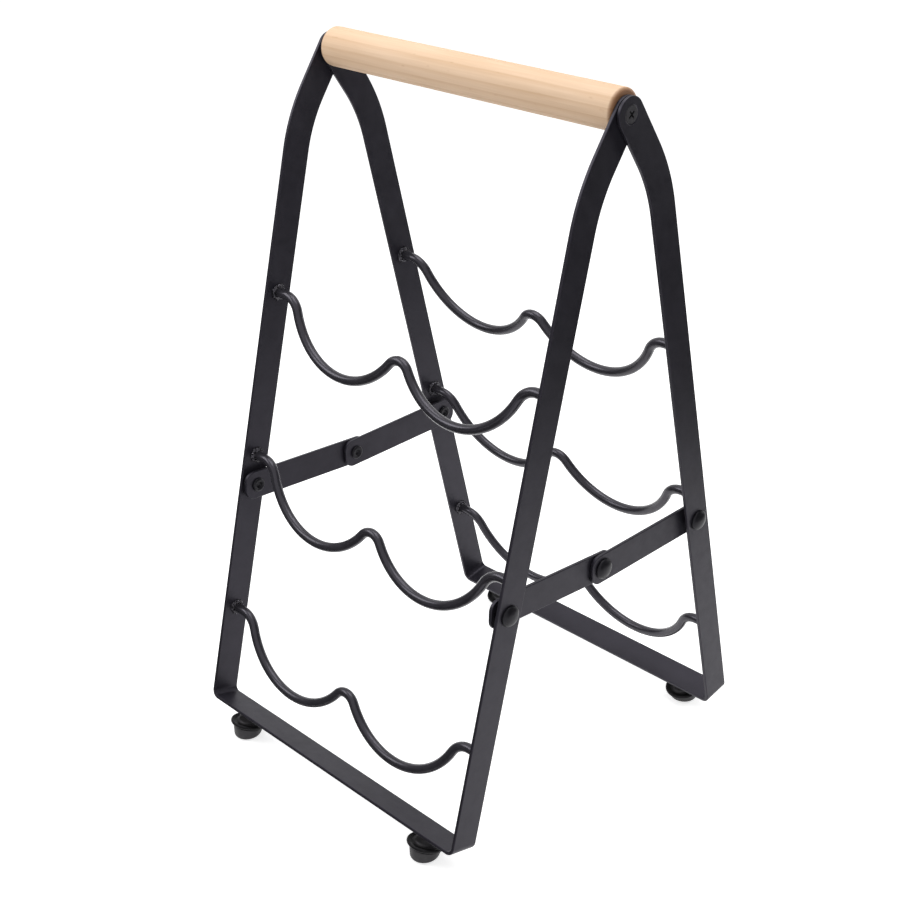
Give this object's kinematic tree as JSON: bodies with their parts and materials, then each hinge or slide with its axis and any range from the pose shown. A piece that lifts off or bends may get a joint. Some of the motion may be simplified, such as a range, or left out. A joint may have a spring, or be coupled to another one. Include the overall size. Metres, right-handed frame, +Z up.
{
  "type": "tabletop wine rack",
  "caption": "Folding A-frame wine rack for a tabletop: two bent flat-bar frames with scalloped wire cradles, folding side stays and a round wooden carrying handle.",
  "frame": {"origin": "centre of the footprint, on the table under the handle", "axes": "+X along the handle to the right, +Y towards the rear frame, +Z up"},
  "size_m": [0.2566, 0.2784, 0.4647],
  "materials": {
    "bar_coat": "satin black powder coat on flat steel bar",
    "wire_coat": "satin black powder coat on round steel wire",
    "rivet_coat": "semi-gloss black rivets",
    "screw_black": "black countersunk screws",
    "zinc_steel": "zinc-plated steel studs, hidden in the feet",
    "handle_wood": "pale sanded pine dowel",
    "foot_rubber": "matte black rubber feet"
  },
  "bodies": {
    "front": {"front_frame": "bar_coat", "front_cradle_bottom": "wire_coat", "front_cradle_middle": "wire_coat", "front_cradle_top": "wire_coat", "front_leg_rivet_left": "rivet_coat", "front_leg_rivet_right": "rivet_coat", "front_foot_left": "foot_rubber", "front_foot_right": "foot_rubber", "front_foot_stud_left": "zinc_steel", "front_foot_stud_right": "zinc_steel", "handle": "handle_wood", "handle_screw_left": "screw_black", "handle_screw_right": "screw_black"},
    "rear": {"rear_frame": "bar_coat", "rear_cradle_bottom": "wire_coat", "rear_cradle_middle": "wire_coat", "rear_cradle_top": "wire_coat", "rear_leg_rivet_left": "rivet_coat", "rear_leg_rivet_right": "rivet_coat", "rear_foot_left": "foot_rubber", "rear_foot_right": "foot_rubber", "rear_foot_stud_left": "zinc_steel", "rear_foot_stud_right": "zinc_steel"},
    "stay_front_left": {"front_stay_left": "bar_coat", "pivot_rivet_head_left": "rivet_coat"},
    "stay_front_right": {"front_stay_right": "bar_coat", "pivot_rivet_tail_right": "rivet_coat"},
    "stay_rear_left": {"rear_stay_left": "bar_coat", "pivot_rivet_tail_left": "rivet_coat"},
    "stay_rear_right": {"rear_stay_right": "bar_coat", "pivot_rivet_head_right": "rivet_coat"}
  },
  "joints": [
    {"name": "frame_fold", "type": "hinge", "parent": "front", "child": "rear", "pos_m": [0, 0, 0.4512], "axis": [-1, 0, 0], "range_deg": [0, 27.7]},
    {"name": "stay_front_left_swing", "type": "hinge", "parent": "front", "child": "stay_front_left", "pos_m": [-0.11845, -0.0862, 0.17435], "axis": [-1, 0, 0], "range_deg": [0, 89.8]},
    {"name": "stay_front_right_swing", "type": "hinge", "parent": "front", "child": "stay_front_right", "pos_m": [0.11585, -0.0862, 0.17435], "axis": [-1, 0, 0], "range_deg": [0, 89.8]},
    {"name": "stay_rear_left_swing", "type": "hinge", "parent": "rear", "child": "stay_rear_left", "pos_m": [-0.11585, 0.0862, 0.17435], "axis": [1, 0, 0], "range_deg": [0, 89.8]},
    {"name": "stay_rear_right_swing", "type": "hinge", "parent": "rear", "child": "stay_rear_right", "pos_m": [0.11845, 0.0862, 0.17435], "axis": [1, 0, 0], "range_deg": [0, 89.8]}
  ],
  "couplings": [
    {"joint": "stay_front_left_swing", "follows": "frame_fold", "ratio": 3.2399},
    {"joint": "stay_front_right_swing", "follows": "frame_fold", "ratio": 3.2399},
    {"joint": "stay_rear_left_swing", "follows": "frame_fold", "ratio": 3.2399},
    {"joint": "stay_rear_right_swing", "follows": "frame_fold", "ratio": 3.2399}
  ]
}
